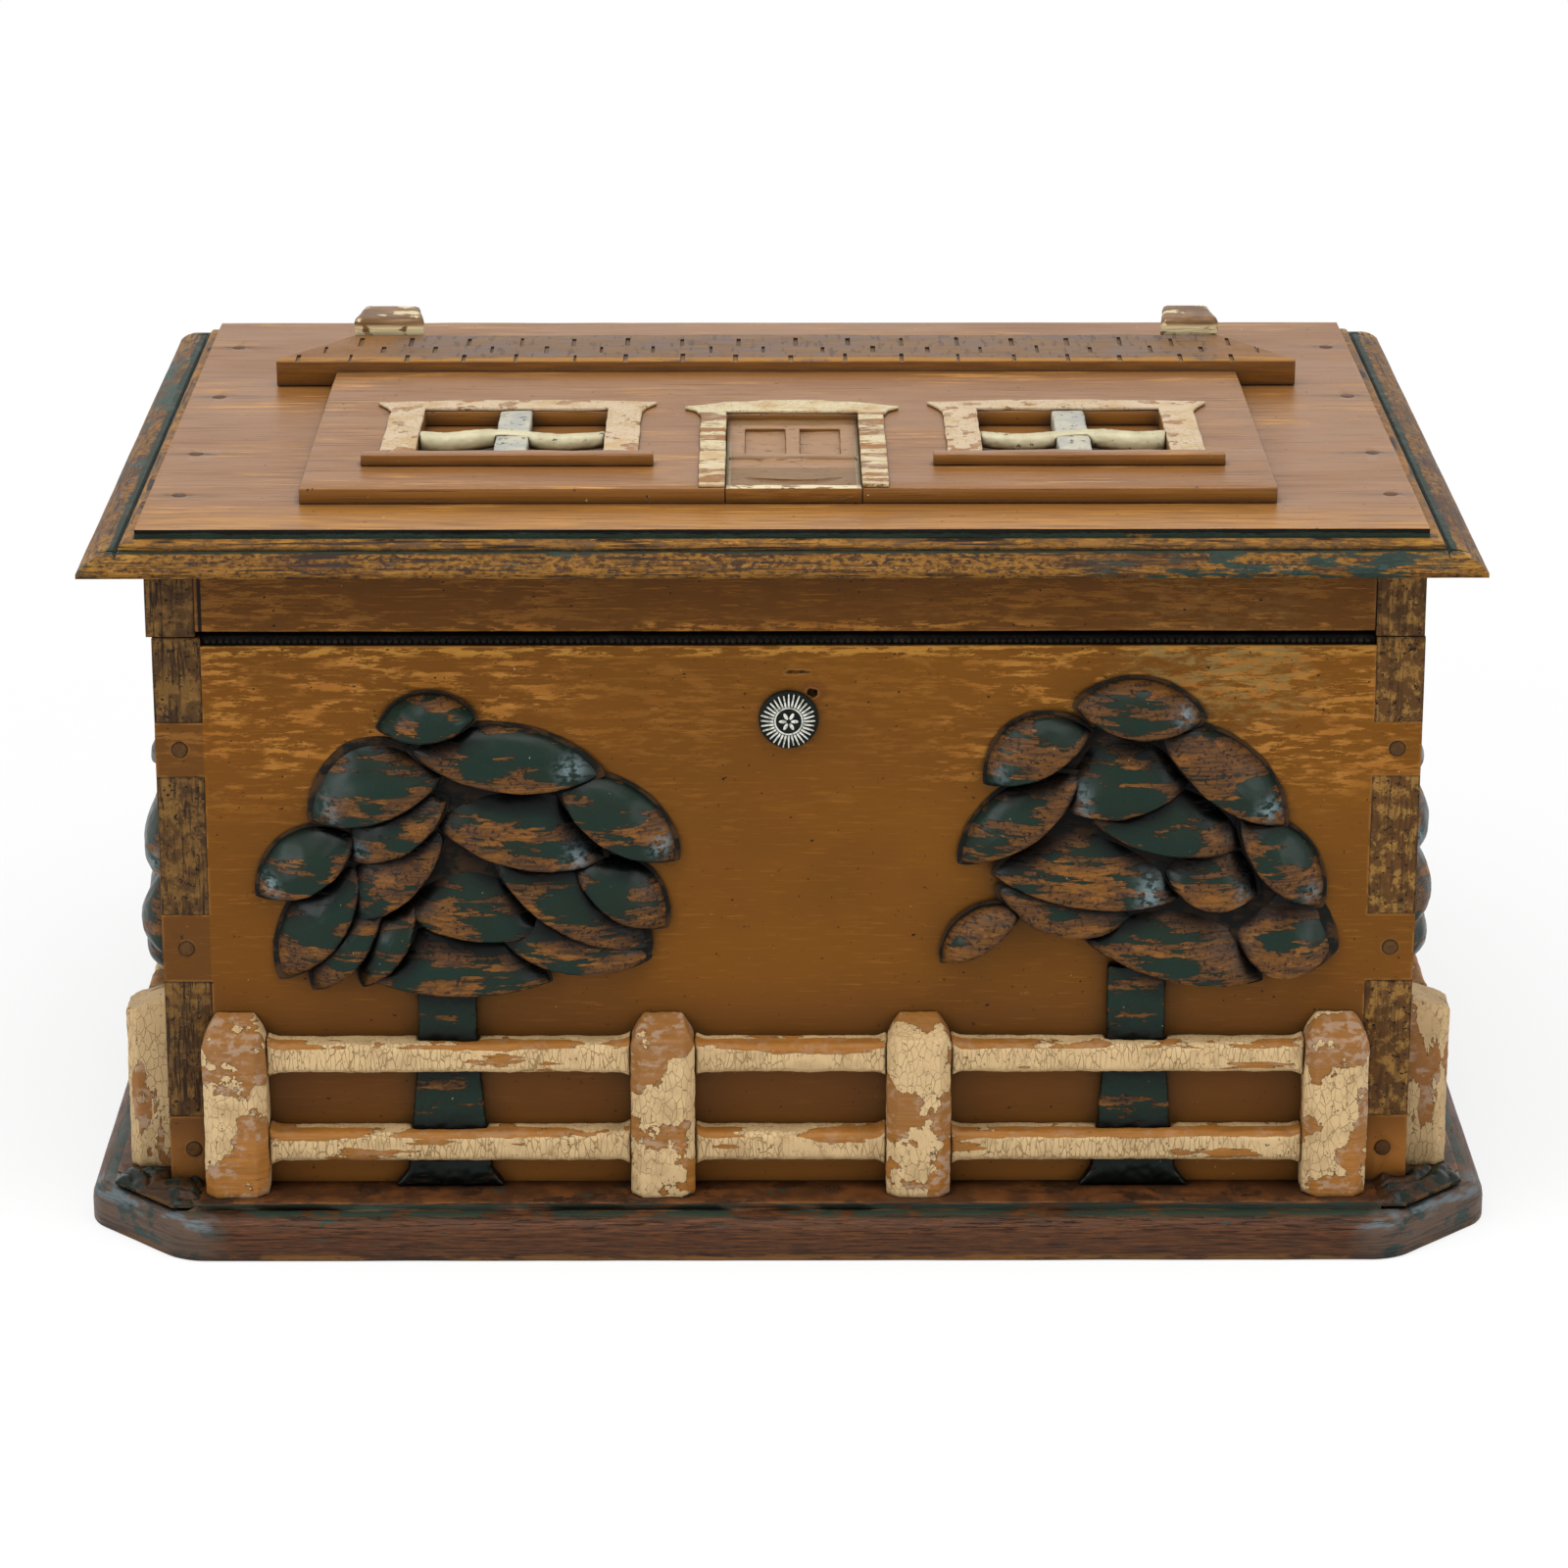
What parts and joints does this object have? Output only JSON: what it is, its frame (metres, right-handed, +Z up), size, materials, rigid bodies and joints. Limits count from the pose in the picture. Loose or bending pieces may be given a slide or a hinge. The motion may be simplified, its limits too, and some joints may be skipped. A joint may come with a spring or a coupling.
{
  "type": "painted wooden box",
  "caption": "Finger-jointed wooden box on a moulded base board, with a hinged moulded lid, carved trees and a rail fence round its walls and a cottage front on the lid.",
  "frame": {"origin": "middle of the footprint, on the surface that the base board stands on", "axes": "+X right along the front, +Y to the back where the hinges are, +Z up; the front with the stud faces -Y"},
  "size_m": [0.343, 0.253, 0.1895],
  "materials": {
    "ochre_paint": "softwood in worn ochre-brown paint, half matt, scratched along the grain",
    "lid_paint": "wood in rubbed brown paint with fine grain, satin where handled",
    "base_wood": "dark stained softwood with a worn rounded edge, satin",
    "cream_paint": "cracked and flaked cream paint over bare orange wood, matt",
    "green_paint": "very dark green gloss paint worn to brown wood on the high spots",
    "peg_wood": "dark hardwood pegs, cut flush and stained",
    "black_cloth": "black ribbed cloth glued on thin board, matt",
    "dark_iron": "dark oxidised iron, matt with worn edges",
    "stud_metal": "pressed metal with grey patina and worn bright rays"
  },
  "bodies": {
    "box": {"base_board": "base_wood", "front_wall": "ochre_paint", "back_wall": "ochre_paint", "left_wall": "ochre_paint", "right_wall": "ochre_paint", "corner_pegs": "peg_wood", "base_nails": "dark_iron", "front_stud": "stud_metal", "lining_floor": "black_cloth", "lining_front": "black_cloth", "lining_back": "black_cloth", "lining_left": "black_cloth", "lining_right": "black_cloth", "front_fence_posts": "cream_paint", "front_upper_rail": "cream_paint", "front_lower_rail": "cream_paint", "left_fence_posts": "cream_paint", "left_upper_rail": "cream_paint", "left_lower_rail": "cream_paint", "right_fence_posts": "cream_paint", "right_upper_rail": "cream_paint", "right_lower_rail": "cream_paint", "front_left_trunk": "green_paint", "front_left_canopy": "green_paint", "front_right_trunk": "green_paint", "front_right_canopy": "green_paint", "left_side_trunks": "green_paint", "left_near_canopy": "green_paint", "left_far_canopy": "green_paint", "right_side_trunks": "green_paint", "right_near_canopy": "green_paint", "right_far_canopy": "green_paint", "hinge_box_leaves": "dark_iron", "hinge_pins": "dark_iron", "hinge_box_screws": "dark_iron"},
    "lid": {"lid_board": "lid_paint", "lid_front_rail": "ochre_paint", "lid_back_rail": "ochre_paint", "lid_left_rail": "ochre_paint", "lid_right_rail": "ochre_paint", "lid_lining": "black_cloth", "lid_nails": "dark_iron", "hinge_lid_leaves": "dark_iron", "hinge_lid_screws": "dark_iron", "cottage_front": "lid_paint", "cottage_roof": "ochre_paint", "left_chimney": "lid_paint", "right_chimney": "lid_paint", "left_window_frame": "cream_paint", "left_window_sill": "ochre_paint", "left_upright_bar": "cream_paint", "left_cross_bar": "cream_paint", "right_window_frame": "cream_paint", "right_window_sill": "ochre_paint", "right_upright_bar": "cream_paint", "right_cross_bar": "cream_paint", "door_frame": "cream_paint", "door_leaf": "ochre_paint"}
  },
  "joints": [
    {"name": "lid_hinge", "type": "hinge", "parent": "box", "child": "lid", "pos_m": [0, 0.1089, 0.15115], "axis": [-1, 0, 0], "range_deg": [0, 150]}
  ]
}
